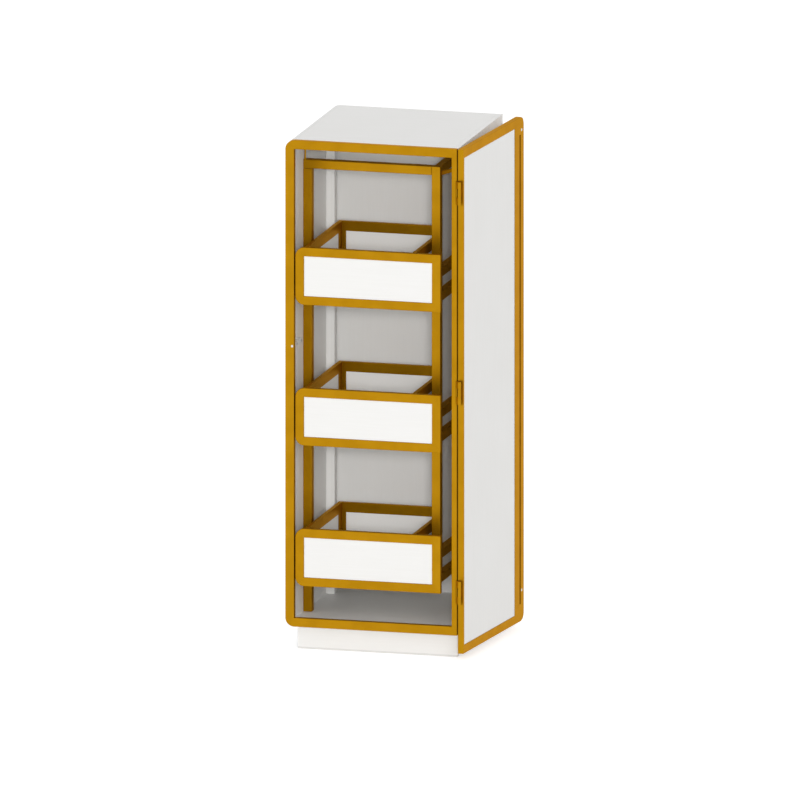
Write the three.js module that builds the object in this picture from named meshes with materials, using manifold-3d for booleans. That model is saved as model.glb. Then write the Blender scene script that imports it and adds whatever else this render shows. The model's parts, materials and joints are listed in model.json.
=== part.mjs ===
// A pull out larder unit: a tall open cabinet with three inner drawers on telescopic runners
// and one tall door, folded back along the right side on knuckle hinges.
// Sizes are in millimetres. X runs to the right, Y runs into the cabinet and Z runs up.
import * as THREE from 'three';
import { mergeVertices } from 'three/addons/utils/BufferGeometryUtils.js';
import Module from 'manifold-3d';

const wasm = await Module();
wasm.setup();

// Clearances
const gap = 0.3; // between pieces that rest on each other
const pinClearance = 0.1; // round a turning pin or a sliding rod
const threadClearance = 0.3; // round a foot's thread
const railClearance = 0.3; // between the members of a runner

// Cabinet
const cabinetWidth = 600;
const cabinetDepth = 600;
const carcassHeight = 1680;
const legHeight = 85;
const board = 18;
const backThickness = 8;
const faceDepth = 20;
const faceWidth = 30;
const cornerRadius = 30;
const plinthSetback = 50;
const plinthThickness = 16;

// Legs
const legInset = [60, 110, 80]; // from the sides, the front and the rear
const footRadius = 24;
const footThread = 6;
const socketRadius = 20;
const socketFoot = 28; // height of the socket's lower end
const nutHeight = 8;

// Inner frame
const bar = 30;
const frameFront = 165;
const frameOverrun = 18; // from the runners' rear ends to the frame's rear
const frameDrop = 100; // from the cabinet's top to the frame's top
const hingeSpace = 84; // from the ladder to the right side panel
const linerThickness = 4;
const hangerRadius = 3;
const stayHeight = 14;
const stayThickness = 5;
const stayReach = [72, 36]; // forward and up, from the ladder to the right side panel

// Drawers
const drawerCount = 3;
const drawersAbove = 81; // from the top compartment's ceiling to the cabinet's top
const drawersBelow = 141; // from the cabinet's underside to the lowest drawer's underside
const drawerHeight = 198;
const frontReveal = [4, 40]; // to the face frame on the left and the side panel on the right
const frontFace = 3;
const frontThickness = 19;
const frontBar = 30;
const frontInset = 2;
const trayShort = 6; // from the tray's rear to the runners' rear ends
const trayWall = 12;
const trayFloor = 8;
const trayLift = 12; // from the front's lower edge to the tray's underside
const rimHeight = 34;
const rimWidth = 14;
const cornerPost = 28;

// Runners
const runnerHeight = 45;
const runnerSheet = 1.5;
const runnerLength = 450;
const runnerSetback = 27;
const runnerDrop = 100; // from a drawer's top to its runners' centre line
const sideRailDrops = [85, 168]; // from a drawer's top to the tops of the ladder's rails
const slotCount = 4; // long holes along each member's web
const slotLength = 22; // between the centres of a hole's round ends
const slotRadius = 3;

// Door
const doorThickness = 20;
const doorGap = 2; // between the closed door and the cabinet
const doorReveal = [2, 1]; // at the free edge and at the hinges
const doorOverhang = 62; // below the carcass
const doorRail = 30;
const doorStiles = [88, 10]; // at the free edge and at the hinges
const doorAngle = 265; // opened from closed
const gripInset = 30;
const gripWidth = 12;
const gripDepth = 8;

// Hinges
const pinOffset = 12; // out from the side and forward of the front
const pinRadius = 3;
const knuckleRadius = 6;
const leafHeight = 80;
const leafSheet = 2.6;
const leafLength = 44;
const armThickness = 3;
const knuckleSplit = 25;
const hingeMargin = 110;

// Push latch
const plungerRadius = 4;
const plungerLength = 72;
const latchHeight = 16;
const latchLength = 90;

// Derived levels
const left = -cabinetWidth / 2;
const right = cabinetWidth / 2;
const bottom = legHeight;
const top = legHeight + carcassHeight;
const innerLeft = left + board;
const innerRight = right - board;
const boardY = [faceDepth + gap, cabinetDepth - backThickness - gap];
const frameTop = top - frameDrop;
const ladderX = [innerRight - hingeSpace - bar, innerRight - hingeSpace];
const postX = [innerLeft + gap, innerLeft + bar];
const drawerPitch = (carcassHeight - drawersAbove - drawersBelow) / drawerCount;
const drawerTop = (i) => top - drawersAbove - drawerPitch * (i + 1) + drawerHeight;
const trayX = [postX[1] + 14, ladderX[0] - 15];
const runnerY = [runnerSetback, runnerSetback + runnerLength];
const frameRear = runnerY[1] + frameOverrun;
const trayY = [frontFace + frontThickness + gap, runnerY[1] - trayShort];
const pin = [right + pinOffset, -pinOffset];
const hingeLevels = [bottom + hingeMargin, (bottom + top - leafHeight) / 2,
  top - hingeMargin - leafHeight];
const latchX = innerLeft + (faceWidth - board) / 2;
const latchZ = (drawerTop(0) - drawerHeight + drawerTop(1)) / 2;

const brass = new THREE.MeshStandardMaterial({ color: 0xbb8710, roughness: 0.35, metalness: 0.85 });
const white = new THREE.MeshStandardMaterial({ color: 0xf2f1ee, roughness: 0.5, metalness: 0 });
const steel = new THREE.MeshStandardMaterial({ color: 0xb9bcbf, roughness: 0.32, metalness: 1 });
const plastic = new THREE.MeshStandardMaterial({ color: 0x2b2c2e, roughness: 0.6, metalness: 0 });
const palePlastic = new THREE.MeshStandardMaterial({ color: 0xe9e8e4, roughness: 0.45, metalness: 0 });

const along = {
  x: new THREE.Matrix4().makeBasis(axis(0, 1, 0), axis(0, 0, 1), axis(1, 0, 0)),
  y: new THREE.Matrix4().makeBasis(axis(1, 0, 0), axis(0, 0, 1), axis(0, -1, 0)),
  z: new THREE.Matrix4(),
};

function axis(x, y, z) {
  return new THREE.Vector3(x, y, z);
}

// A box between two values on each axis.
function slab(x, y, z) {
  const g = new THREE.BoxGeometry(x[1] - x[0], y[1] - y[0], z[1] - z[0]);
  return g.translate((x[0] + x[1]) / 2, (y[0] + y[1]) / 2, (z[0] + z[1]) / 2);
}

// A shape pushed along one axis, from one value on it to another.
function pushed(shape, direction, [from, to]) {
  const g = new THREE.ExtrudeGeometry(shape, { depth: to - from, bevelEnabled: false, curveSegments: 8 });
  g.applyMatrix4(along[direction]);
  if (direction === 'x') return g.translate(from, 0, 0);
  return direction === 'y' ? g.translate(0, to, 0) : g.translate(0, 0, from);
}

// Points of a quarter circle about (a, b), starting at the given quarter turn.
function quarter(a, b, radius, start, steps = 8) {
  return Array.from({ length: steps + 1 }, (_, i) => {
    const angle = (start + i / steps) * Math.PI / 2;
    return [a + radius * Math.cos(angle), b + radius * Math.sin(angle)];
  });
}

// A rectangle whose two corners at the low end of the first axis are rounded.
function rounded(a, b, radius) {
  return polygon([[a[1], b[0]], [a[1], b[1]], ...quarter(a[0] + radius, b[1] - radius, radius, 1),
    ...quarter(a[0] + radius, b[0] + radius, radius, 2)]);
}

function polygon(points) {
  return new THREE.Shape(points.map(([a, b]) => new THREE.Vector2(a, b)));
}

// A round solid about a vertical axis, from pairs of radius and height.
function turned(profile, sides = 32) {
  const points = profile.map(([r, h]) => new THREE.Vector2(r, h));
  return new THREE.LatheGeometry(points, sides).rotateX(Math.PI / 2);
}

function rod(radius, z, sides = 24) {
  const g = new THREE.CylinderGeometry(radius, radius, z[1] - z[0], sides);
  return g.rotateX(Math.PI / 2).translate(0, 0, (z[0] + z[1]) / 2);
}

function solid(geometry) {
  const bare = geometry.clone();
  bare.deleteAttribute('normal');
  bare.deleteAttribute('uv');
  const merged = mergeVertices(bare, 1e-3);
  return new wasm.Manifold(new wasm.Mesh({
    numProp: 3,
    vertProperties: merged.attributes.position.array,
    triVerts: new Uint32Array(merged.index.array),
  }));
}

function surface(body) {
  const { vertProperties, triVerts } = body.getMesh();
  const g = new THREE.BufferGeometry();
  g.setAttribute('position', new THREE.BufferAttribute(vertProperties, 3));
  g.setIndex(new THREE.BufferAttribute(triVerts, 1));
  const flat = g.toNonIndexed();
  flat.computeVertexNormals();
  return flat;
}

function joined(...pieces) {
  return surface(pieces.map(solid).reduce((sum, piece) => sum.add(piece)));
}

function cut(base, ...tools) {
  return surface(tools.map(solid).reduce((rest, tool) => rest.subtract(tool), solid(base)));
}

function add(parent, name, geometry, material) {
  const mesh = new THREE.Mesh(geometry, material);
  mesh.name = name;
  parent.add(mesh);
  return mesh;
}

const grown = ([from, to], by) => [from - by, to + by];

// Recesses in the front edge and the right side for the hinges' fixed leaves.
function leafRecesses() {
  return hingeLevels.map((z) => slab([right - leafSheet - 2 * gap, right + 1], [-1, leafLength + gap],
    grown([z, z + leafHeight], gap)));
}

function plungerHole(y) {
  return rod(plungerRadius + pinClearance, y).rotateX(-Math.PI / 2).translate(latchX, 0, latchZ);
}

function cornerPiece(level, inward) {
  const z = (d) => level + inward * d;
  const arc = quarter(cornerRadius, cornerRadius, cornerRadius, 2);
  const inside = [[cornerRadius, board], [board, board], [board, cornerRadius]];
  return pushed(polygon([...arc, ...inside].map(([x, d]) => [left + x, z(d)])), 'y', boardY);
}

function carcass(unit) {
  const sideZ = grown([bottom, top], -cornerRadius - gap);
  const levelX = [left + cornerRadius + gap, innerRight - gap];
  add(unit, 'left_side', slab([left, innerLeft], boardY, sideZ), white);
  add(unit, 'right_side', cut(slab([innerRight, right], boardY, [bottom, top]), ...leafRecesses()), white);
  add(unit, 'top_panel', slab(levelX, boardY, [top - board, top]), white);
  add(unit, 'bottom_panel', slab(levelX, boardY, [bottom, bottom + board]), white);
  add(unit, 'top_corner_piece', cornerPiece(top, -1), white);
  add(unit, 'bottom_corner_piece', cornerPiece(bottom, 1), white);
  const backY = [cabinetDepth - backThickness, cabinetDepth];
  add(unit, 'back_panel', pushed(rounded([left, right], [bottom, top], cornerRadius), 'y', backY), white);
  const face = pushed(rounded([left, right], [bottom, top], cornerRadius), 'y', [0, faceDepth]);
  const opening = slab([left + faceWidth, innerRight], [-1, faceDepth + 1], grown([bottom, top], -faceWidth));
  add(unit, 'face_frame', cut(face, opening, ...leafRecesses(), plungerHole([-1, faceDepth + 1])), brass);
  add(unit, 'plinth_board', slab([left + cornerRadius, right - 10],
    [plinthSetback, plinthSetback + plinthThickness], [3, bottom - gap]), white);
}

function legSocket() {
  const flange = slab([-32, 32], [-32, 32], [bottom - gap - 4, bottom - gap]);
  const bore = footThread + threadClearance;
  const tube = turned([[bore, socketFoot], [socketRadius - 2, socketFoot], [socketRadius, socketFoot + 2],
    [socketRadius, bottom - 4], [0, bottom - 4], [0, bottom - 10], [bore, bottom - 10], [bore, socketFoot]]);
  return joined(flange, tube);
}

function screwFoot() {
  const body = turned([[0, 0], [footRadius - 2, 0], [footRadius, 2], [footRadius, 6], [footRadius - 6, 10],
    [footThread, 13], [footThread, bottom - 14], [footThread - 1, bottom - 13], [0, bottom - 13]]);
  const nut = rod(11, [socketFoot - gap - nutHeight, socketFoot - gap], 6);
  return joined(body, nut);
}

function legs(unit) {
  const xs = [left + legInset[0], right - legInset[0]];
  const ys = [legInset[1], cabinetDepth - legInset[2]];
  const names = [['front_left', 'front_right'], ['rear_left', 'rear_right']];
  ys.forEach((y, j) => xs.forEach((x, i) => {
    add(unit, `${names[j][i]}_leg_socket`, legSocket(), plastic).position.set(x, y, 0);
    add(unit, `${names[j][i]}_foot`, screwFoot(), steel).position.set(x, y, 0);
  }));
}

// Each drawer has two rails in the ladder. The front and rear uprights stand proud of the rails
// on the drawers' side, and the liner lies between them.
function ladder(unit) {
  const lowest = drawerTop(drawerCount - 1) - sideRailDrops[1] - bar;
  const betweenY = [frameFront + bar, frameRear - bar];
  const windows = [];
  let ceiling = frameTop - bar;
  for (let i = 0; i < drawerCount; i++) {
    for (const drop of sideRailDrops) {
      windows.push(slab(grown(ladderX, 1), betweenY, [drawerTop(i) - drop, ceiling]));
      ceiling = drawerTop(i) - drop - bar;
    }
  }
  const plate = slab(ladderX, [frameFront, frameRear], [lowest, frameTop]);
  const rebate = slab([ladderX[0] - 1, ladderX[0] + linerThickness + gap], betweenY, [lowest - 1, frameTop + 1]);
  add(unit, 'ladder_frame', cut(plate, rebate, ...windows), brass);
  add(unit, 'ladder_liner', slab([ladderX[0], ladderX[0] + linerThickness], grown(betweenY, -gap),
    [lowest, frameTop]), white);
  add(unit, 'ladder_fixing_board', slab([ladderX[1] + gap, innerRight - gap], [frameRear - 24, frameRear - 6],
    [lowest, frameTop]), white);
}

// A flat stay that runs forward and up from the ladder's top to the right side panel.
function stay() {
  const x = [ladderX[1] + gap, innerRight - gap];
  const low = frameTop - bar;
  const s = polygon([[x[0], low], [x[1], low + stayReach[1]], [x[1], low + stayReach[1] + stayHeight],
    [x[0], low + stayHeight]]);
  const g = pushed(s, 'y', [frameFront + 6, frameFront + 6 + stayThickness]);
  const slope = -stayReach[0] / (x[1] - x[0]);
  const shear = new THREE.Matrix4().set(1, 0, 0, 0, slope, 1, 0, -slope * x[0], 0, 0, 1, 0, 0, 0, 0, 1);
  return g.applyMatrix4(shear);
}

function innerFrame(unit) {
  const standing = [bottom + board + gap, frameTop];
  add(unit, 'left_front_post', slab(postX, [frameFront, frameFront + bar],
    [standing[0], frameTop - bar - gap]), brass);
  add(unit, 'left_rear_post', slab(postX, [frameRear - bar, frameRear], standing), white);
  add(unit, 'front_top_bar', slab([postX[0], ladderX[0] - gap], [frameFront, frameFront + bar],
    [frameTop - bar, frameTop]), brass);
  add(unit, 'hanger_rod', rod(hangerRadius, [frameTop + gap, top - board - gap], 16), brass)
    .position.set(innerLeft + 6, frameFront + 5, 0);
  add(unit, 'top_stay', stay(), brass);
  ladder(unit);
}

// A hole with round ends, through a runner's web.
function slot(y) {
  const end = (sense, start) => [...quarter(y + sense * slotLength / 2, 0, slotRadius, start, 4),
    ...quarter(y + sense * slotLength / 2, 0, slotRadius, start + 1, 4).slice(1)];
  return polygon([...end(1, 3), ...end(-1, 1)]);
}

function slots(x, y) {
  const pitch = (y[1] - y[0]) / slotCount;
  return Array.from({ length: slotCount }, (_, i) => pushed(slot(y[0] + (i + 0.5) * pitch), 'x', x));
}

// A slotted channel, its web at u = from and its flanges reaching to u = to. u is measured from
// the mounting face and side is the direction of u along X.
function channel(face, side, from, to, halfHeight, y) {
  const x = (u) => face + side * u;
  const t = runnerSheet;
  const points = [[from, -halfHeight], [to, -halfHeight], [to, t - halfHeight], [from + t, t - halfHeight],
    [from + t, halfHeight - t], [to, halfHeight - t], [to, halfHeight], [from, halfHeight]];
  const s = polygon(points.map(([u, z]) => [x(u), z]));
  const through = [x(from - 1), x(from + t + 1)].sort((a, b) => a - b);
  return cut(pushed(s, 'y', y), ...slots(through, y));
}

const nested = (level) => runnerHeight / 2 - level * (runnerSheet + railClearance);
const webAt = (level) => gap + level * (runnerSheet + railClearance);

function runner(unit, name, face, side, z) {
  const reach = gap + 11;
  add(unit, `${name}_fixed_member`, channel(face, side, webAt(0), reach, nested(0), grown(runnerY, 2)), steel)
    .position.z = z;
  add(unit, `${name}_middle_member`, channel(face, side, webAt(1), reach + 0.8, nested(1), runnerY), steel)
    .position.z = z;
}

// The third member of a runner: two flanges on the tray's side that slide inside the middle member.
function innerFlanges(face, side, wall, z) {
  const y = [trayY[0] + 6, trayY[1] - 3];
  const x = [face + side * webAt(2), wall + side].sort((a, b) => a - b);
  return [-1, 1].map((s) => {
    const ends = [s * nested(2), s * (nested(2) - runnerSheet)].sort((a, b) => a - b);
    return slab(x, y, ends.map((h) => z + h));
  });
}

function tray(z0, z1, runnerZ) {
  const floor = slab(trayX, trayY, [z0, z0 + trayFloor]);
  const up = [z0, z1];
  const walls = [slab([trayX[0], trayX[0] + trayWall], trayY, up), slab([trayX[1] - trayWall, trayX[1]], trayY, up),
    slab(trayX, [trayY[0], trayY[0] + trayWall], up), slab(trayX, [trayY[1] - trayWall, trayY[1]], up)];
  const flanges = [...innerFlanges(postX[1], 1, trayX[0], runnerZ),
    ...innerFlanges(ladderX[0], -1, trayX[1], runnerZ)];
  const posts = rearPosts([z0 - 1, z1 + 1], gap).map(solid);
  return surface(posts.reduce((rest, post) => rest.subtract(post), solid(joined(floor, ...walls, ...flanges))));
}

function rearPosts(z, spare = 0) {
  const y = [trayY[1] - rimWidth - spare, trayY[1] + (spare ? 1 : 0)];
  return [[trayX[0] - (spare ? 0.5 : 0), trayX[0] + cornerPost + spare],
    [trayX[1] - cornerPost - spare, trayX[1] + (spare ? 0.5 : 0)]].map((x) => slab(x, y, z));
}

function rim(z0, z1, floor) {
  const z = [z0, z1];
  return joined(slab([trayX[0], trayX[0] + rimWidth], trayY, z), slab([trayX[1] - rimWidth, trayX[1]], trayY, z),
    slab(trayX, [trayY[1] - rimWidth, trayY[1]], z), ...rearPosts([floor, z1]));
}

function drawer(unit, i) {
  const name = `drawer_${i + 1}`;
  const z1 = drawerTop(i);
  const z0 = z1 - drawerHeight;
  const group = new THREE.Group();
  unit.add(group);
  const frontX = [left + faceWidth + frontReveal[0], innerRight - frontReveal[1]];
  const frontY = [frontFace, frontFace + frontThickness];
  const windowX = grown(frontX, -frontBar);
  const windowZ = grown([z0, z1], -frontBar);
  add(group, `${name}_front_frame`, cut(pushed(rounded(frontX, [z0, z1], cornerRadius), 'y', frontY),
    slab(windowX, grown(frontY, 1), windowZ)), brass);
  add(group, `${name}_front_panel`, slab(grown(windowX, -gap), grown(frontY, -frontInset),
    grown(windowZ, -gap)), white);
  const runnerZ = z1 - runnerDrop;
  add(group, `${name}_tray`, tray(z0 + trayLift, z1 - rimHeight, runnerZ), white);
  add(group, `${name}_rim_rail`, rim(z1 - rimHeight + gap, z1, z0 + trayLift), brass);
  runner(unit, `${name}_left`, postX[1], 1, runnerZ);
  runner(unit, `${name}_right`, ladderX[0], -1, runnerZ);
}

const splits = (z) => [z, z + knuckleSplit, z + leafHeight - knuckleSplit, z + leafHeight];

function carcassLeaf(z) {
  const [z0, z1, z2, z3] = splits(z);
  const ends = [[z0, z1 - gap / 2], [z2 + gap / 2, z3]];
  const reach = (pinOffset + 1) * Math.SQRT2;
  const arms = ends.map((e) => slab([knuckleRadius - 2, reach], [-armThickness / 2, armThickness / 2], e)
    .rotateZ(0.75 * Math.PI).translate(...pin, 0));
  const knuckles = ends.map((e) => rod(knuckleRadius, e).translate(...pin, 0));
  const plate = slab([right - leafSheet - gap, right - gap / 3], [gap, leafLength], [z0, z3]);
  return joined(plate, ...arms, ...knuckles, rod(pinRadius, [z0 + 1, z3 - 1]).translate(...pin, 0));
}

// The door is drawn closed, from its hinge pin at the origin, and then turned open.
const doorEdge = pinOffset + doorReveal[1];
const doorFar = cabinetWidth + pinOffset - doorReveal[0];
const doorZ = [bottom - doorOverhang, top];

function doorLeaf(z) {
  const [z0, z1, z2, z3] = splits(z);
  const middle = [z1 + gap / 2, z2 - gap / 2];
  const plate = slab([-doorEdge - leafSheet, -doorEdge - 0.1], [-doorThickness / 2, doorThickness / 2], [z0, z3]);
  const arm = slab([-doorEdge - 0.5, -knuckleRadius + 2], [-armThickness / 2, armThickness / 2], middle);
  const body = joined(plate, arm, rod(knuckleRadius, middle));
  return cut(body, rod(pinRadius + pinClearance, grown(middle, 1)));
}

function door(unit) {
  const group = new THREE.Group();
  group.position.set(...pin, 0);
  group.rotation.z = THREE.MathUtils.degToRad(doorAngle);
  unit.add(group);
  const y = [-doorThickness / 2, doorThickness / 2];
  const windowX = [-doorFar + doorStiles[0], -doorEdge - doorStiles[1]];
  const windowZ = grown(doorZ, -doorRail);
  const outline = rounded([-doorFar, -doorEdge], doorZ, cornerRadius);
  const notches = hingeLevels.map((z) => slab([-doorEdge - leafSheet - gap, -doorEdge + 1], grown(y, 1),
    grown([z, z + leafHeight], gap)));
  const grip = slab([-doorFar + gripInset, -doorFar + gripInset + gripWidth], [y[1] - gripDepth, y[1] + 1],
    grown(doorZ, -doorRail * 2));
  add(group, 'door_frame', cut(pushed(outline, 'y', y), slab(windowX, grown(y, 1), windowZ),
    ...notches, grip), brass);
  add(group, 'door_panel', slab(grown(windowX, -gap), grown(y, -1), grown(windowZ, -gap)), white);
  hingeLevels.forEach((z, i) => {
    add(unit, `hinge_${i + 1}_carcass_leaf`, carcassLeaf(z), brass);
    add(group, `hinge_${i + 1}_door_leaf`, doorLeaf(z), brass);
  });
}

function latch(unit) {
  const y = [faceDepth + gap, faceDepth + gap + latchLength];
  const z = [latchZ - latchHeight / 2, latchZ + latchHeight / 2];
  const housing = slab([innerLeft + gap, left + faceWidth - gap], y, z);
  add(unit, 'latch_housing', cut(housing, plungerHole([y[0] - 1, y[1] - 10])), palePlastic);
  const front = gap - doorGap;
  const tip = rod(plungerRadius, [0, plungerLength]).rotateX(-Math.PI / 2);
  add(unit, 'latch_plunger', tip, palePlastic).position.set(latchX, front, latchZ);
}

function larderUnit() {
  const unit = new THREE.Group();
  carcass(unit);
  legs(unit);
  innerFrame(unit);
  for (let i = 0; i < drawerCount; i++) drawer(unit, i);
  door(unit);
  latch(unit);
  return unit;
}

// The origin is at floor level, in the middle of the whole outline with the door folded back.
const group = new THREE.Group();
const unit = larderUnit();
group.add(unit);
const outline = new THREE.Box3().setFromObject(unit, true);
const middle = outline.getCenter(new THREE.Vector3());
unit.position.set(-middle.x, -middle.y, -outline.min.z);

export default group;
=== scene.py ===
import json
import math

import bmesh
import bpy
from mathutils import Matrix, Vector


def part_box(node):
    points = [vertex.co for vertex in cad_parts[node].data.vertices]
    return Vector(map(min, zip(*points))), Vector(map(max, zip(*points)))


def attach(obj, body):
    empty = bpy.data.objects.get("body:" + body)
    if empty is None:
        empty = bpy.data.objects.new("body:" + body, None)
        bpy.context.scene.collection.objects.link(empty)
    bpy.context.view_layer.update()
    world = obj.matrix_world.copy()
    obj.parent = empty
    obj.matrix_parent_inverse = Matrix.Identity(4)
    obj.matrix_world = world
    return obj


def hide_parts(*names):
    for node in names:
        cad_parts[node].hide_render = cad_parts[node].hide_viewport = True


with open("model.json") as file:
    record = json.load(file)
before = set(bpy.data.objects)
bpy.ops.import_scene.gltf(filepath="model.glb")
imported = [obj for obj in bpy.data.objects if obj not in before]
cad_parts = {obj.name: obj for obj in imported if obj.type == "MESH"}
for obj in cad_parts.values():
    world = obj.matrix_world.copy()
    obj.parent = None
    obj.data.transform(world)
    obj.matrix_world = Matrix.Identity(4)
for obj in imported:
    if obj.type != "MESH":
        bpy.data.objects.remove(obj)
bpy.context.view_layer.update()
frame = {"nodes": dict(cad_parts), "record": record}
record = frame["record"]
bodyOf = {node: body for body, names in record["behaviour"]["bodies"].items() for node in names}
slotOf = {row["node"]: row["material_slot"] for row in record["subparts"]}
numbers = (1, 2, 3)  # of the drawers, and of the hinges
legs = ("front_left", "front_right", "rear_left", "rear_right")


class Wire:  # a shader socket that takes part in sums
    def __init__(self, recipe, socket):
        self.recipe, self.socket = recipe, socket

    def combine(self, operation, *values):
        return self.recipe.node("Math", {"operation": operation}, dict(enumerate(values)))

    def __add__(self, other): return self.combine("ADD", self, other)
    def __radd__(self, other): return self.combine("ADD", other, self)
    def __sub__(self, other): return self.combine("SUBTRACT", self, other)
    def __rsub__(self, other): return self.combine("SUBTRACT", other, self)
    def __mul__(self, other): return self.combine("MULTIPLY", self, other)
    def __rmul__(self, other): return self.combine("MULTIPLY", other, self)


class Recipe:  # one material or world and the nodes in it
    def __init__(self, holder, turn=0):
        holder.use_nodes = True
        self.turn = turn  # squares the piece up with the axes, where it stands at an angle
        self.tree = holder.node_tree
        self.tree.nodes.clear()

    def node(self, kind, settings=None, inputs=None, out=0):
        made = self.tree.nodes.new("ShaderNode" + kind)
        for key, value in (settings or {}).items():
            setattr(made, key, value)
        for key, value in (inputs or {}).items():
            if isinstance(value, Wire):
                self.tree.links.new(value.socket, made.inputs[key])
            else:
                made.inputs[key].default_value = value
        return Wire(self, made.outputs[out] if made.outputs else None)

    def mix(self, share, first, second):  # first and second are colours
        return self.node("Mix", {"data_type": "RGBA"}, {0: share, 6: first, 7: second}, 2)

    def ramp(self, value, low, high):  # 0 up to low, 1 from high, and even between them
        made = self.node("ValToRGB", {}, {"Fac": value})
        first, last = made.socket.node.color_ramp.elements
        first.position, last.position = low, high
        return made

    def place(self, scale):  # where a point is on the piece, in metres, stretched by scale
        spot = self.node("VectorRotate", {"rotation_type": "Z_AXIS"},
                         {"Vector": self.node("TexCoord", out="Object"), "Angle": self.turn})
        return self.node("VectorMath", {"operation": "MULTIPLY"}, {0: spot, 1: scale})

    def noise(self, scale, size, detail, roughness=0.5):
        return self.node("TexNoise", {}, {"Vector": self.place(scale), "Scale": size, "Detail": detail,
                                         "Roughness": roughness})

    def bump(self, height, strength, distance, normal=None):
        inputs = {"Height": height, "Strength": strength, "Distance": distance}
        if normal:
            inputs["Normal"] = normal
        return self.node("Bump", {}, inputs)

    def surface(self, **sockets):
        inputs = {name.replace("_", " "): value for name, value in sockets.items()}
        shader = self.node("BsdfPrincipled", {}, inputs)
        self.node("OutputMaterial", {}, {"Surface": shader})


def madeOnce(name, build, turn=0):
    if name not in bpy.data.materials:
        build(Recipe(bpy.data.materials.new(name), turn))
    return bpy.data.materials[name]


def axisName(along, turn):
    return "XYZ"[along] + ("Turned" if turn else "")


unstretched = (1, 1, 1)

# In these dictionaries a noise is its size, its detail and its roughness, where that isn't 0.5
lacquer = {
    "colour": (0.87, 0.865, 0.85, 1), "shadeColour": (0.83, 0.823, 0.80, 1),
    "grain": (55 / 3, 6, 0.62), "grainAcross": 9, "grainAlong": 0.35, "grainLevels": (0.42, 0.6),
    "cloud": (3.5, 4), "cloudShade": 0.7, "poreShade": 0.22,
    "rough": 0.36, "cloudRough": 0.12, "poreRough": 0.05, "coat": 0.12,
    "grainBump": (0.35, 0.00009), "peel": (900, 2), "peelBump": (0.3, 0.00002)}


def whiteLacquer(along, turn=0):
    def build(recipe):
        stretch = [lacquer["grainAcross"]] * 3
        stretch[along] = lacquer["grainAlong"]
        grain = recipe.ramp(recipe.noise(stretch, *lacquer["grain"]), *lacquer["grainLevels"])
        pores = 1 - grain
        cloud = recipe.noise(unstretched, *lacquer["cloud"])
        peel = recipe.bump(recipe.noise(unstretched, *lacquer["peel"]), *lacquer["peelBump"])
        tint = recipe.mix(cloud * lacquer["cloudShade"] + pores * lacquer["poreShade"],
                          lacquer["colour"], lacquer["shadeColour"])
        rough = lacquer["rough"] + cloud * lacquer["cloudRough"] + pores * lacquer["poreRough"]
        recipe.surface(Base_Color=tint, Roughness=rough, Coat_Weight=lacquer["coat"],
                       Normal=recipe.bump(grain, *lacquer["grainBump"], peel))

    return madeOnce("whiteLacquerAlong" + axisName(along, turn), build, turn)


brass = {
    "colour": (0.495, 0.241, 0.004, 1), "deepColour": (0.367, 0.168, 0.002, 1),
    "paleColour": (0.612, 0.324, 0.012, 1), "edgeColour": (0.86, 0.60, 0.12, 1),
    "lines": (1560, 5, 0.7), "broadLines": (130, 3), "lineStretch": 0.012,
    "lineShare": 0.7, "broadShare": 0.3, "evenShare": 0.55,
    "wear": (6, 4, 0.6), "wearLevels": (0.56, 0.78), "wearShare": 0.2,
    "patches": (14, 3), "patchLevels": (0.40, 0.60), "patchShare": 0.3,
    "metal": 0.86, "rough": 0.30, "lineRough": 0.16, "wearRough": 0.08, "lineBump": (0.45, 0.00003)}


def brushedBrass(along, turn=0):
    def build(recipe):
        stretch = [1, 1, 1]
        stretch[along] = brass["lineStretch"]
        lines = recipe.noise(stretch, *brass["lines"])
        broad = recipe.noise(stretch, *brass["broadLines"])
        worn = recipe.ramp(recipe.noise(unstretched, *brass["wear"]), *brass["wearLevels"])
        patches = recipe.ramp(recipe.noise(unstretched, *brass["patches"]), *brass["patchLevels"])
        tint = recipe.mix(lines * brass["lineShare"] + broad * brass["broadShare"],
                          brass["deepColour"], brass["paleColour"])
        tint = recipe.mix(brass["evenShare"] + worn * brass["wearShare"], tint, brass["colour"])
        tint = recipe.mix(patches * brass["patchShare"], tint, brass["deepColour"])
        rough = brass["rough"] + lines * brass["lineRough"] + worn * brass["wearRough"]
        recipe.surface(Base_Color=tint, Metallic=brass["metal"], Roughness=rough,
                       Normal=recipe.bump(lines, *brass["lineBump"]), Specular_Tint=brass["edgeColour"])

    return madeOnce("brushedBrassAlong" + axisName(along, turn), build, turn)


zinc = {"colour": (0.60, 0.61, 0.62, 1), "blueColour": (0.50, 0.53, 0.57, 1), "metal": 1.0,
        "lines": (1400, 4, 0.7), "lineStretch": (1, 0.02, 1), "bloom": (60, 4, 0.6),
        "rough": 0.25, "lineRough": 0.15, "bloomRough": 0.12, "lineBump": (0.4, 0.00002)}


def zincPlate():
    def build(recipe):
        lines = recipe.noise(zinc["lineStretch"], *zinc["lines"])
        bloom = recipe.noise(unstretched, *zinc["bloom"])
        recipe.surface(Base_Color=recipe.mix(bloom, zinc["colour"], zinc["blueColour"]),
                       Metallic=zinc["metal"],
                       Roughness=zinc["rough"] + lines * zinc["lineRough"] + bloom * zinc["bloomRough"],
                       Normal=recipe.bump(lines, *zinc["lineBump"]))

    return madeOnce("zincPlate", build)


darkPlastic = {"name": "darkPlastic", "rough": 0.42,
               "colour": (0.035, 0.035, 0.038, 1), "second": (0.06, 0.06, 0.063, 1)}
palePlastic = {"name": "palePlastic", "rough": 0.35,
               "colour": (0.76, 0.755, 0.735, 1), "second": (0.70, 0.69, 0.665, 1)}
moulding = {"texture": (1600, 3, 0.6), "textureRough": 0.2, "textureBump": (0.5, 0.00004), "flow": (25, 3)}


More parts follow.
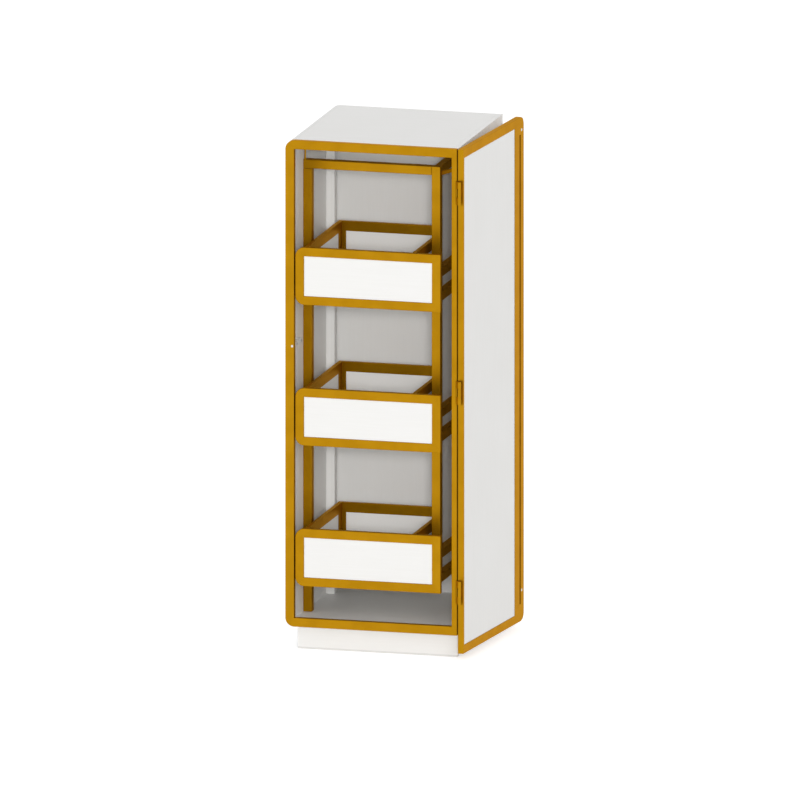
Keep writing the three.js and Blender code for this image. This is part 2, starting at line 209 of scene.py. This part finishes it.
def mouldedPlastic(kind):
    def build(recipe):
        texture = recipe.noise(unstretched, *moulding["texture"])
        flow = recipe.noise(unstretched, *moulding["flow"])
        recipe.surface(Base_Color=recipe.mix(flow, kind["colour"], kind["second"]),
                       Roughness=kind["rough"] + texture * moulding["textureRough"],
                       Normal=recipe.bump(texture, *moulding["textureBump"]))

    return madeOnce(kind["name"], build)


def give(name, mesh, body, material, replaced=()):
    piece = bpy.data.objects.new(name, mesh)
    bpy.context.scene.collection.objects.link(piece)
    mesh.materials.clear()
    mesh.materials.append(material)
    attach(piece, body)
    if replaced:
        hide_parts(*replaced)
    return piece


doorOpening = math.radians(265)  # how far the door stands open at rest


def turnOf(node):  # how far a piece stands turned from square
    return doorOpening if bodyOf[node] == "door" else 0


# Sharper edges than the first angle are eased, and a fitting without easing is shaded sharp above the second
easing = {"eased": math.radians(32), "shadedSharp": math.radians(38), "seamShare": 0.15, "segments": 2,
          "weld": 1e-5, "flatWeight": 100}
# How close counts as the same place, in metres, and which angle counts as level
near = {"sameVertex": 2e-6, "onCut": 3e-6, "tinyEdge": 2e-5, "onSeam": 3e-5, "level": math.radians(0.6)}


def softenEdges(piece, width):
    bevel = piece.modifiers.new("edges", "BEVEL")
    bevel.width, bevel.segments, bevel.limit_method = width, easing["segments"], "WEIGHT"
    weld = piece.modifiers.new("weld", "WELD")  # no faces without width are left where easings meet
    weld.merge_threshold = easing["weld"]
    flats = piece.modifiers.new("flats", "WEIGHTED_NORMAL")  # the big faces stay flat beside the eased edges
    flats.mode, flats.weight = "FACE_AREA", easing["flatWeight"]


def markEdges(work, seams=()):  # sharp edges are eased in full, and those along a seam only a little
    share = work.edges.layers.float.new("bevel_weight_edge")
    for edge in work.edges:
        if len(edge.link_faces) == 2 and edge.calc_face_angle() > easing["eased"]:
            onSeam = any(all(abs((vert.co - point).dot(normal)) < near["onSeam"] for vert in edge.verts)
                         for point, normal in seams)
            edge[share] = easing["seamShare"] if onSeam else 1


def meshFrom(work, name):
    mesh = bpy.data.meshes.new(name + "Mesh")
    work.to_mesh(mesh)
    work.free()
    mesh.polygons.foreach_set("use_smooth", [True] * len(mesh.polygons))
    return mesh


def joinedCopy(node):
    work = bmesh.new()
    work.from_mesh(frame["nodes"][node].data)
    bmesh.ops.remove_doubles(work, verts=work.verts, dist=near["sameVertex"])
    return work


def dropTriangles(work):
    bmesh.ops.remove_doubles(work, verts=work.verts, dist=near["tinyEdge"])
    bmesh.ops.dissolve_degenerate(work, edges=work.edges, dist=near["tinyEdge"])
    bmesh.ops.dissolve_limit(work, angle_limit=near["level"], verts=work.verts, edges=work.edges)


def finishCopy(work, name, node, material, width, seams=()):
    dropTriangles(work)
    markEdges(work, seams)
    mesh = meshFrom(work, name)
    softenEdges(give(name, mesh, bodyOf[node], material, [node]), width)


# A node's own shape with its edges eased, so that they catch the light
def easedCopy(node, material, width):
    finishCopy(joinedCopy(node), node + "_made", node, material, width)


def keepSide(work, point, normal):  # cut away what lies beyond a plane and close the cut
    parts = bmesh.ops.bisect_plane(work, geom=work.verts[:] + work.edges[:] + work.faces[:],
                                   dist=near["onCut"], plane_co=point, plane_no=normal, clear_outer=True)
    edges = [part for part in parts["geom_cut"] if isinstance(part, bmesh.types.BMEdge)]
    if edges:
        bmesh.ops.edgeloop_fill(work, edges=edges)


# A ring's four bars, cut apart at their mitres, so that each is brushed along its own length
def mitredFrame(node, bars):
    squareUp = Matrix.Rotation(-turnOf(node), 4, "Z")
    turnBack = squareUp.inverted()
    probe = joinedCopy(node)
    probe.transform(squareUp)
    left, bottom = (min(vert.co[axis] for vert in probe.verts) for axis in (0, 2))
    right, top = (max(vert.co[axis] for vert in probe.verts) for axis in (0, 2))
    probe.free()
    corners = [(left, bottom, bars["left"], bars["bottom"]), (right, bottom, -bars["right"], bars["bottom"]),
               (right, top, -bars["right"], -bars["top"]), (left, top, bars["left"], -bars["top"])]
    sides = [("bottom", bottom, 0, 0, 1), ("right", right, 2, 1, 2), ("top", top, 0, 2, 3),
             ("left", left, 2, 3, 0)]
    centre = Vector(((left + right) / 2, 0, (bottom + top) / 2))
    for side, edge, along, first, second in sides:
        work = joinedCopy(node)
        work.transform(squareUp)
        outside = Vector(centre)
        outside[2 - along] = edge
        seams = []
        for index in (first, second):
            x, z, stepX, stepZ = corners[index]
            normal = Vector((stepZ, 0, -stepX)).normalized()
            point = Vector((x, 0, z))
            if (outside - point).dot(normal) > 0:
                normal.negate()
            keepSide(work, point, normal)
            seams.append((turnBack @ point, turnBack.to_3x3() @ normal))
        keepSide(work, centre, (centre - outside).normalized())
        work.transform(turnBack)
        finishCopy(work, f"{node}_{side}", node, brushedBrass(along, turnOf(node)), bars["ease"], seams)


# The axis the grain or the brushing runs along, and how far the edges are eased, in millimetres
boardNodes = {
    "left_side": (2, 0.6), "right_side": (2, 0.6), "top_panel": (0, 0.6), "bottom_panel": (0, 0.6),
    "top_corner_piece": (1, 0.3), "bottom_corner_piece": (1, 0.3), "left_rear_post": (2, 1.5),
    "plinth_board": (0, 0.6), "ladder_liner": (2, 0.3), "ladder_fixing_board": (2, 0.6),
    "door_panel": (2, 0.8)}
brassNodes = {
    "left_front_post": (2, 1.5), "front_top_bar": (0, 1.5), "hanger_rod": (2, 0.3), "top_stay": (0, 0.6),
    "ladder_frame": (2, 1.2)}
for number in numbers:
    boardNodes[f"drawer_{number}_front_panel"] = (0, 0.8)
    brassNodes[f"drawer_{number}_rim_rail"] = (1, 1.0)
    brassNodes[f"hinge_{number}_carcass_leaf"] = (2, 0.3)
    brassNodes[f"hinge_{number}_door_leaf"] = (2, 0.3)

# The widths of the frames' bars and how far their edges are eased, in metres
cabinetBars = {"left": 0.030, "right": 0.018, "bottom": 0.030, "top": 0.030, "ease": 0.0012}
drawerBars = {"left": 0.030, "right": 0.030, "bottom": 0.030, "top": 0.030, "ease": 0.0014}
doorBars = {"left": 0.088, "right": 0.010, "bottom": 0.030, "top": 0.030, "ease": 0.0014}

for node, (along, ease) in boardNodes.items():
    easedCopy(node, whiteLacquer(along, turnOf(node)), ease / 1000)
for node, (along, ease) in brassNodes.items():
    easedCopy(node, brushedBrass(along, turnOf(node)), ease / 1000)
# The small parts' materials, and how far their edges are eased, in metres
slotLooks = {"zinc_steel": (zincPlate(), 0.0003), "dark_plastic": (mouldedPlastic(darkPlastic), 0.0006),
             "pale_plastic": (mouldedPlastic(palePlastic), 0.0004)}
for node, slot in slotOf.items():
    if slot in slotLooks:
        easedCopy(node, *slotLooks[slot])
mitredFrame("face_frame", cabinetBars)
mitredFrame("door_frame", doorBars)
for number in numbers:
    mitredFrame(f"drawer_{number}_front_frame", drawerBars)


tray = {"cutBeyondWall": 0.00006, "stripEase": 0.0002, "boxEase": 0.0004}


def dressTray(number):  # a lacquered box with the runners' steel strips along its sides
    node = f"drawer_{number}_tray"
    low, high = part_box(f"drawer_{number}_rim_rail")
    box = joinedCopy(node)
    for side, wall, outward in (("left", low.x - tray["cutBeyondWall"], -1),
                                ("right", high.x + tray["cutBeyondWall"], 1)):
        strips = joinedCopy(node)
        keepSide(strips, Vector((wall, 0, 0)), Vector((-outward, 0, 0)))
        keepSide(box, Vector((wall, 0, 0)), Vector((outward, 0, 0)))
        finishCopy(strips, f"{node}_{side}_strips", node, zincPlate(), tray["stripEase"])
    finishCopy(box, node + "_box", node, whiteLacquer(1), tray["boxEase"])


for number in numbers:
    dressTray(number)
print("boards, bars and runners dressed")


def joinRows(work, rows):  # walls from each closed row of vertices to the next
    count = len(rows[0])
    for low, high in zip(rows, rows[1:]):
        for step in range(count):
            other = (step + 1) % count
            work.faces.new((low[step], low[other], high[other], high[step]))


def joinSolid(work, rows):  # the walls, and one face at each end
    joinRows(work, rows)
    work.faces.new(rows[0][::-1])
    work.faces.new(rows[-1])


def around(sides):
    return [2 * math.pi * step / sides for step in range(sides)]


# Rings of (radius, height, corners) joined into one solid; a ring with no corners is round
def turned(work, spot, outward, rings, sides=24):
    facing = Vector(outward).to_track_quat("Z", "Y").to_matrix()
    rows = []
    for radius, height, corners in rings:
        row = []
        for angle in around(sides):
            reach = radius
            if corners:
                half = math.pi / corners
                reach = radius / math.cos(angle % (2 * half) - half)
            local = Vector((reach * math.cos(angle), reach * math.sin(angle), height))
            row.append(work.verts.new(Vector(spot) + facing @ local))
        rows.append(row)
    joinRows(work, rows)
    for row, height, order in ((rows[0], rings[0][1], -1), (rows[-1], rings[-1][1], 1)):
        middle = work.verts.new(Vector(spot) + facing @ Vector((0, 0, height)))
        for step in range(sides):
            pair = (row[step], row[(step + 1) % sides])
            work.faces.new((middle, *pair[::order]))


def pushedUp(work, outline, low, high):  # an outline in X and Y, from one height to another
    joinSolid(work, [[work.verts.new((x, y, z)) for x, y in outline] for z in (low, high)])


def fitting(name, work, body, material, ease=0):
    if ease:
        markEdges(work)
    mesh = meshFrom(work, name)
    if not ease:
        mesh.set_sharp_from_angle(angle=easing["shadedSharp"])
    piece = give(name, mesh, body, material)
    if ease:
        softenEdges(piece, ease)


def middleOf(node):
    low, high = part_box(node)
    return (low + high) / 2


screw = {"zinc": {"radius": 0.0042, "height": 0.0014, "socket": 0.0016, "depth": 0.0009},
         "brass": {"radius": 0.0036, "height": 0.0005, "socket": 0.0014, "depth": 0.0008},
         "sunk": {"radius": 0.0040, "height": 0.0010, "socket": 0.0014, "depth": 0.0007}}
screwForm = {"root": 0.0002, "dome": ((1, 0.4), (0.88, 0.8), (0.66, 1)), "socketCorners": 6}


def screwHead(work, spot, outward, kind):
    radius, height, socket = kind["radius"], kind["height"], kind["socket"]
    rings = [(radius, -screwForm["root"], 0)]
    rings += [(radius * wide, height * tall, 0) for wide, tall in screwForm["dome"]]
    rings += [(socket, height - sink, screwForm["socketCorners"]) for sink in (0, kind["depth"])]
    turned(work, spot, outward, rings)


backScrews = {"inset": 0.009, "cornerMargin": 0.070, "alongHeight": 9, "alongWidth": 4, "holeRadius": 0.0050,
              "holeTaper": 0.9, "holeDepth": 0.0012, "holeSides": 20, "panelEase": 0.0003}


def evenly(low, high, count):  # places along an edge, from one margin to the other
    margin = backScrews["cornerMargin"]
    return [low + margin + (high - low - 2 * margin) * step / (count - 1) for step in range(count)]


def backScrewSpots():
    low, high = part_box("back_panel")
    inset = backScrews["inset"]
    spots = []
    for z in evenly(low.z, high.z, backScrews["alongHeight"]):
        spots += [(low.x + inset, high.y, z), (high.x - inset, high.y, z)]
    for x in evenly(low.x, high.x, backScrews["alongWidth"]):
        spots += [(x, high.y, low.z + inset), (x, high.y, high.z - inset)]
    return [Vector(spot) for spot in spots]


def makeBackPanel():  # its screws lie sunk in shallow holes in its rear face
    work, heads = joinedCopy("back_panel"), bmesh.new()
    dropTriangles(work)
    rear = max(work.faces, key=lambda face: face.normal.y * face.calc_area())
    rim = list(rear.edges)
    bmesh.ops.delete(work, geom=[rear], context="FACES_ONLY")
    sides, depth, wide = backScrews["holeSides"], backScrews["holeDepth"], backScrews["holeRadius"]
    for spot in backScrewSpots():
        mouth, floor = (
            [work.verts.new(spot + Vector((radius * math.cos(angle), -sink, radius * math.sin(angle))))
             for angle in around(sides)]
            for radius, sink in ((wide, 0), (wide * backScrews["holeTaper"], depth)))
        for step in range(sides):
            other = (step + 1) % sides
            work.faces.new((mouth[step], floor[step], floor[other], mouth[other]))
            rim.append(work.edges.get((mouth[step], mouth[other])))
        work.faces.new(floor[::-1])
        screwHead(heads, spot - Vector((0, depth, 0)), (0, 1, 0), screw["sunk"])
    bmesh.ops.triangle_fill(work, use_beauty=True, use_dissolve=False, edges=rim, normal=(0, 1, 0))
    bmesh.ops.recalc_face_normals(work, faces=work.faces)
    markEdges(work)
    mesh = meshFrom(work, "backPanel")
    softenEdges(give("back_panel_made", mesh, "cabinet", whiteLacquer(2), ["back_panel"]),
                backScrews["panelEase"])
    fitting("back_screws", heads, "cabinet", zincPlate())


doorTurn = Matrix.Rotation(doorOpening, 3, "Z")


def onDoor(x, y, z):  # a spot given from the pin, along and through the closed door
    swing = next(joint for joint in record["behaviour"]["joints"] if joint["name"] == "door_swing")
    return Vector((swing["pos_m"][0], swing["pos_m"][1], 0)) + doorTurn @ Vector((x, y, z))


# Spots on the fixed leaf are how far back from the face frame's front and up from the leaf's lower end
hingeScrews = {
    "fixed": ((0.016, 0.014), (0.034, 0.014), (0.025, 0.040), (0.016, 0.066), (0.034, 0.066)),
    "sunk": 0.0001, "doorLevels": (0.013, 0.067), "doorLeafFace": -0.0131}


def makeHingeScrews():
    fixed, moving = bmesh.new(), bmesh.new()
    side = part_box("right_side")[1].x - hingeScrews["sunk"]  # the fixed leaf's outer face
    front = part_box("face_frame")[0].y
    for number in numbers:
        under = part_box(f"hinge_{number}_carcass_leaf")[0].z
        for y, z in hingeScrews["fixed"]:
            screwHead(fixed, (side, front + y, under + z), (1, 0, 0), screw["brass"])
        for z in hingeScrews["doorLevels"]:
            spot = onDoor(hingeScrews["doorLeafFace"], 0, under + z)
            screwHead(moving, spot, doorTurn @ Vector((1, 0, 0)), screw["brass"])
    fitting("hinge_screws_fixed", fixed, "cabinet", brushedBrass(2))
    fitting("hinge_screws_door", moving, "door", brushedBrass(2))


leg = {"padHeight": 0.002, "footEase": 0.0003, "threadLevels": (0.0128, 0.0196), "threadPitch": 0.002,
       "threadRadius": 0.0060, "threadDepth": 0.0007, "threadSides": 24, "threadSteps": 6,
       "screwInset": 0.007, "screwDrop": 0.004}


def footThread(work, centre, low, high):
    pitch, sides, steps = leg["threadPitch"], leg["threadSides"], leg["threadSteps"]
    rows = []
    for level in range(int((high - low) / pitch * steps) + 1):
        z = low + level * pitch / steps
        row = []
        for step in range(sides):
            phase = (z / pitch - step / sides) % 1
            radius = leg["threadRadius"] + leg["threadDepth"] * (1 - abs(2 * phase - 1))
            angle = 2 * math.pi * step / sides
            spot = (centre.x + radius * math.cos(angle), centre.y + radius * math.sin(angle), z)
            row.append(work.verts.new(spot))
        rows.append(row)
    joinSolid(work, rows)


def makeFoot(corner):  # the foot's solid divided into its metal and its rubber pad, and its thread
    node = corner + "_foot"
    split = Vector((0, 0, leg["padHeight"]))
    metal, pad, thread = joinedCopy(node), joinedCopy(node), bmesh.new()
    keepSide(metal, split, Vector((0, 0, -1)))
    keepSide(pad, split, Vector((0, 0, 1)))
    finishCopy(metal, node + "_metal", node, zincPlate(), leg["footEase"])
    finishCopy(pad, node + "_pad", node, mouldedPlastic(darkPlastic), leg["footEase"])
    footThread(thread, middleOf(node), *leg["threadLevels"])
    fitting(node + "_thread", thread, corner + "_foot_body", zincPlate())


def makeSocketScrews():
    work = bmesh.new()
    for corner in legs:
        low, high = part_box(corner + "_leg_socket")
        inset, under = leg["screwInset"], high.z - leg["screwDrop"]
        for x in (low.x + inset, high.x - inset):
            for y in (low.y + inset, high.y - inset):
                screwHead(work, (x, y, under), (0, 0, -1), screw["zinc"])
    fitting("socket_screws", work, "cabinet", zincPlate())


clip = {"levels": (0.034, 0.054), "inner": 0.0202, "outer": 0.0232, "mouth": math.radians(45), "steps": 30,
        "stem": 0.004, "stemOverlap": 0.001, "plate": (0.015, 0.003), "gap": 0.0001, "ease": 0.0004}


def makePlinthClip(corner):  # grips the front leg and holds the plinth board's back
    centre, back = middleOf(corner + "_foot"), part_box("plinth_board")[1].y
    mouth, steps = clip["mouth"], clip["steps"]
    angles = [math.pi / 2 + mouth + (2 * math.pi - 2 * mouth) * step / steps for step in range(steps + 1)]
    ring = [(centre.x + radius * math.cos(angle), centre.y + radius * math.sin(angle))
            for radius, order in ((clip["outer"], angles), (clip["inner"], angles[::-1])) for angle in order]
    work = bmesh.new()
    pushedUp(work, ring, *clip["levels"])
    half, (wide, thick) = clip["stem"], clip["plate"]
    front, close, far = centre.y - clip["outer"] + clip["stemOverlap"], back + clip["gap"], back + thick
    stem = [(-half, front), (-half, far), (-wide, far), (-wide, close),
            (wide, close), (wide, far), (half, far), (half, front)]
    pushedUp(work, [(centre.x + x, y) for x, y in stem], *clip["levels"])
    fitting(corner + "_plinth_clip", work, "cabinet", mouldedPlastic(darkPlastic),
            clip["ease"])


# The lip's outline from the board's front face and the floor: under the board, and up its front
lip = {"nose": [(-0.0012, 0.0004), (-0.0002, 0.0002), (0.0040, 0.0026)], "underside": 0.0026,
       "topside": 0.0029, "upstand": [(0, 0.0029), (0, 0.0070), (-0.0012, 0.0066)]}


def makePlinthSeal():  # a soft lip along the plinth's lower edge
    low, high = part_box("plinth_board")
    thick = high.y - low.y
    outline = lip["nose"] + [(thick, lip["underside"]), (thick, lip["topside"])] + lip["upstand"]
    work = bmesh.new()
    joinSolid(work, [[work.verts.new((x, low.y + y, z)) for y, z in outline] for x in (low.x, high.x)])
    fitting("plinth_seal", work, "cabinet", mouldedPlastic(palePlastic))


trayScrews = {"wall": 0.012, "fromSide": 0.060, "fromFloor": 0.040, "fromRim": 0.032}


def makeTrayScrews(number):  # they hold the drawer's front on, seen from inside the tray
    low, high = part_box(f"drawer_{number}_tray")
    work = bmesh.new()
    for x in (low.x + trayScrews["fromSide"], (low.x + high.x) / 2, high.x - trayScrews["fromSide"]):
        for z in (low.z + trayScrews["fromFloor"], high.z - trayScrews["fromRim"]):
            screwHead(work, (x, low.y + trayScrews["wall"], z), (0, 1, 0), screw["zinc"])
    fitting(f"drawer_{number}_front_screws", work, f"drawer_{number}", zincPlate())


cornerAngle = {"wall": 0.012, "post": 0.014, "floor": 0.008, "reach": 0.040, "thick": 0.0008, "sunk": 0.0001,
               "screwLevels": (0.024, 0.120), "ease": 0.0003}


def makeCornerAngles(number):  # the rear posts' legs along the tray's side walls
    low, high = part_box(f"drawer_{number}_rim_rail")
    trayLow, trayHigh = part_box(f"drawer_{number}_tray")
    rear = high.y - cornerAngle["post"]
    levels = trayLow.z + cornerAngle["floor"], trayHigh.z
    plates, screws = bmesh.new(), bmesh.new()
    for wall, inward in ((low.x + cornerAngle["wall"], 1), (high.x - cornerAngle["wall"], -1)):
        face = wall + inward * cornerAngle["thick"]
        x0, x1 = sorted((wall - inward * cornerAngle["sunk"], face))
        y0, y1 = rear - cornerAngle["reach"], rear + cornerAngle["sunk"]
        pushedUp(plates, [(x0, y0), (x1, y0), (x1, y1), (x0, y1)], *levels)
        for level in cornerAngle["screwLevels"]:
            screwHead(screws, (face, (y0 + y1) / 2, levels[0] + level), (inward, 0, 0), screw["brass"])
    fitting(f"drawer_{number}_corner_angles", plates, f"drawer_{number}", brushedBrass(2),
            cornerAngle["ease"])
    fitting(f"drawer_{number}_angle_screws", screws, f"drawer_{number}", brushedBrass(2))


latchScrews = {"fromFront": 0.020, "fromRear": 0.012}


def makeLatchScrews():
    low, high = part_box("latch_housing")
    work = bmesh.new()
    for y in (low.y + latchScrews["fromFront"], high.y - latchScrews["fromRear"]):
        screwHead(work, (high.x, y, (low.z + high.z) / 2), (1, 0, 0), screw["zinc"])
    fitting("latch_screws", work, "cabinet", zincPlate())


collar = {"rings": [(0.0055, 0, 0), (0.0055, 0.0010, 0), (0.0048, 0.0018, 0), (0.0034, 0.0024, 0)],
          "sunk": 0.0002}


def makeRodCollars():
    low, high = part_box("hanger_rod")
    centre = (low + high) / 2
    work = bmesh.new()
    turned(work, (centre.x, centre.y, low.z - collar["sunk"]), (0, 0, 1), collar["rings"])
    turned(work, (centre.x, centre.y, high.z + collar["sunk"]), (0, 0, -1), collar["rings"])
    fitting("hanger_rod_collars", work, "cabinet", brushedBrass(2))


bumper = {"rings": [(0.0050, -0.0001, 0), (0.0050, 0.0004, 0), (0.0044, 0.0009, 0), (0.0028, 0.0012, 0),
                    (0.0010, 0.0013, 0)],
          "along": -0.588, "doorBack": 0.010, "fromEnd": 0.045}


def makeDoorBumpers():
    work = bmesh.new()
    low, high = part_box("face_frame")
    for z in (low.z + bumper["fromEnd"], high.z - bumper["fromEnd"]):
        spot = onDoor(bumper["along"], bumper["doorBack"], z)
        turned(work, spot, doorTurn @ Vector((0, 1, 0)), bumper["rings"])
    fitting("door_bumpers", work, "door", mouldedPlastic(palePlastic))


runnerBuffer = {"web": 0.0018, "mouth": 0.0012, "fromBottom": 0.0030, "fromTop": 0.0110, "height": 0.0080,
                "innerFront": 0.0072, "outerFront": 0.0055, "rear": 0.0006, "ease": 0.0006}


def makeRunnerBuffers(number, side):  # rubber stops inside the rear ends of the middle members
    low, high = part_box(f"drawer_{number}_{side}_middle_member")
    work = bmesh.new()
    web, mouth = runnerBuffer["web"], runnerBuffer["mouth"]
    inner, outer = (low.x + web, high.x - mouth) if side == "left" else (low.x + mouth, high.x - web)
    rear = high.y - runnerBuffer["rear"]
    for level in (low.z + runnerBuffer["fromBottom"], high.z - runnerBuffer["fromTop"]):
        outline = [(inner, high.y - runnerBuffer["innerFront"]),
                   (outer, high.y - runnerBuffer["outerFront"]), (outer, rear), (inner, rear)]
        pushedUp(work, outline, level, level + runnerBuffer["height"])
    fitting(f"drawer_{number}_{side}_buffers", work, f"drawer_{number}_{side}_middle",
            mouldedPlastic(darkPlastic), runnerBuffer["ease"])


makeBackPanel()
makeHingeScrews()
for corner in legs:
    makeFoot(corner)
makeSocketScrews()
makePlinthClip("front_left")
makePlinthClip("front_right")
makePlinthSeal()
for number in numbers:
    makeTrayScrews(number)
    makeCornerAngles(number)
makeLatchScrews()
makeRodCollars()
makeDoorBumpers()
for number in numbers:
    makeRunnerBuffers(number, "left")
    makeRunnerBuffers(number, "right")
print("screws and small fittings made")


# The view: the frame's top left corner stands at this pixel of an 800 pixel square
view = {"azimuth": 15, "elevation": 12, "metresPerPixel": 0.00338, "size": 800,
        "cornerPixel": (285.3, 140), "distance": 6, "farthest": 100}


def placeCamera():
    azimuth, elevation = math.radians(view["azimuth"]), math.radians(view["elevation"])
    back = Vector((math.sin(azimuth) * math.cos(elevation), -math.cos(azimuth) * math.cos(elevation),
                   math.sin(elevation)))
    across = Vector((math.cos(azimuth), math.sin(azimuth), 0))
    up = back.cross(across)
    low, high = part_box("face_frame")
    corner = Vector((low[0], low[1], high[2]))
    columns, rows = (offset - view["size"] / 2 for offset in view["cornerPixel"])
    target = corner - across * columns * view["metresPerPixel"] + up * rows * view["metresPerPixel"]
    lens = bpy.data.cameras.new("drawingView")
    lens.type, lens.ortho_scale = "ORTHO", view["size"] * view["metresPerPixel"]
    lens.clip_end = view["farthest"]
    camera = bpy.data.objects.new("drawingView", lens)
    bpy.context.scene.collection.objects.link(camera)
    camera.matrix_world = Matrix.Translation(target + back * view["distance"]) @ Matrix(
        (across, up, back)).transposed().to_4x4()
    bpy.context.scene.camera = camera


# The sky's strength, the suns, and the floor
light = {"sky": 0.60,
         "suns": {"keySun": {"strength": 0.42, "angle": 34, "source": (0.80, -1.0, 0.50)},
                  "fillSun": {"strength": 1.30, "angle": 8, "source": (0.27, -1.0, 0.22)},
                  "rearSun": {"strength": 0.45, "angle": 50, "source": (-0.25, 1.0, 0.45)}},
         "floorReach": 40, "floorLift": 0.55, "floorColour": (0.78, 0.78, 0.78, 1), "white": (1, 1, 1, 1)}


def placeSun(name, strength, angle, source):
    lamp = bpy.data.lights.new(name, "SUN")
    lamp.energy, lamp.angle = strength, math.radians(angle)
    holder = bpy.data.objects.new(name, lamp)
    bpy.context.scene.collection.objects.link(holder)
    holder.rotation_euler = Vector(source).to_track_quat("Z", "Y").to_euler()
    holder.visible_glossy = False  # the gloss shows the white surroundings, with no glare off the top


def seenPlainly(recipe):  # 1 where a ray comes from the camera, a mirror or glass
    rays = recipe.node("LightPath").socket.node
    camera, glossy, through = (Wire(recipe, rays.outputs[name]) for name in
                               ("Is Camera Ray", "Is Glossy Ray", "Is Transmission Ray"))
    return camera.combine("MAXIMUM", camera, glossy.combine("MAXIMUM", glossy, through))


def makeSurroundings():
    scene = bpy.context.scene
    scene.view_settings.view_transform = "Standard"
    scene.world = bpy.data.worlds.new("studio")
    recipe = Recipe(scene.world)
    strength = light["sky"] + seenPlainly(recipe) * (1 - light["sky"])
    sky = recipe.node("Background", {}, {"Color": light["white"], "Strength": strength})
    recipe.node("OutputWorld", {}, {"Surface": sky})
    for name, values in light["suns"].items():
        placeSun(name, **values)


def makeFloor():
    reach = light["floorReach"]
    mesh = bpy.data.meshes.new("studioFloor")
    spots = [(-reach, -reach, 0), (reach, -reach, 0), (reach, reach, 0), (-reach, reach, 0)]
    mesh.from_pydata(spots, [], [(0, 1, 2, 3)])
    floor = bpy.data.objects.new("studioFloor", mesh)
    bpy.context.scene.collection.objects.link(floor)
    material = bpy.data.materials.new("studioFloor")
    recipe = Recipe(material)
    matt = recipe.node("BsdfDiffuse", {}, {"Color": light["floorColour"]})
    glow = seenPlainly(recipe) * light["floorLift"]
    lift = recipe.node("Emission", {}, {"Color": light["white"], "Strength": glow})
    recipe.node("OutputMaterial", {}, {"Surface": recipe.node("AddShader", {}, {0: matt, 1: lift})})
    mesh.materials.append(material)


placeCamera()
makeSurroundings()
makeFloor()
print("camera, lamps and floor placed")
